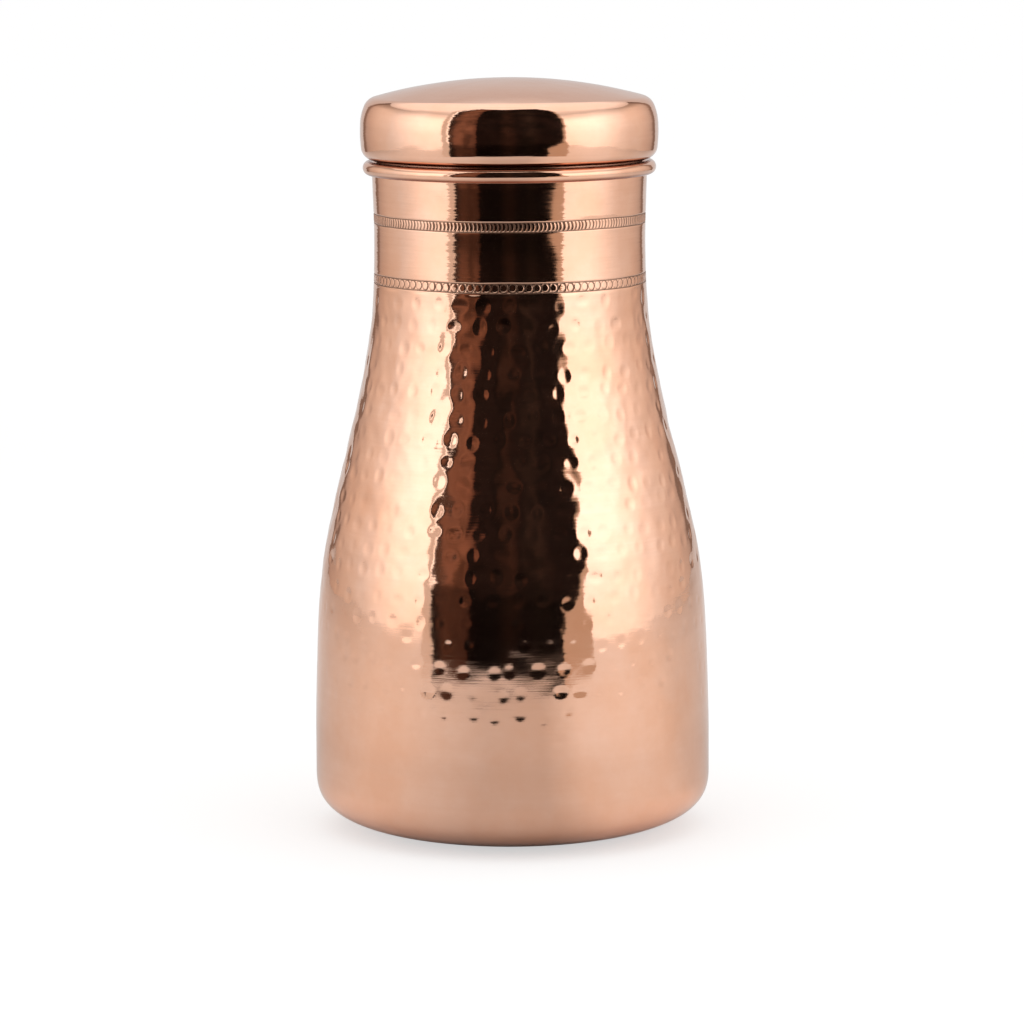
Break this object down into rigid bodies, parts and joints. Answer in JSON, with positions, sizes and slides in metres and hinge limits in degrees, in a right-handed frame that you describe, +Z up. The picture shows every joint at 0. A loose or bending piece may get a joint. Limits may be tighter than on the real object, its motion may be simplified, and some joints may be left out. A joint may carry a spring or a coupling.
{
  "type": "lidded water jar",
  "caption": "Hammered copper water jar with a smooth collared neck, a wired rolled rim and a domed push-in lid that lifts off.",
  "frame": {"origin": "centre of the flat foot that the jar stands on", "axes": "+Z up along the jar's axis through the lid; +Y away from the front; the shape is turned, so X and Y are alike"},
  "size_m": [0.1318, 0.1318, 0.25],
  "materials": {
    "hammered_copper": "hammered belly and planished neck, polished bright and lacquered",
    "drawn_copper_wire": "drawn, dull",
    "polished_copper": "spun and polished bright",
    "spun_copper": "spun, satin"
  },
  "bodies": {
    "jar": {"jar_shell": "hammered_copper", "rim_wire": "drawn_copper_wire"},
    "lid": {"lid_cap": "polished_copper", "lid_sleeve": "spun_copper"}
  },
  "joints": [
    {"name": "lid_lift", "type": "slide", "parent": "jar", "child": "lid", "axis": [0, 0, 1], "range_m": [0, 0.025]}
  ]
}
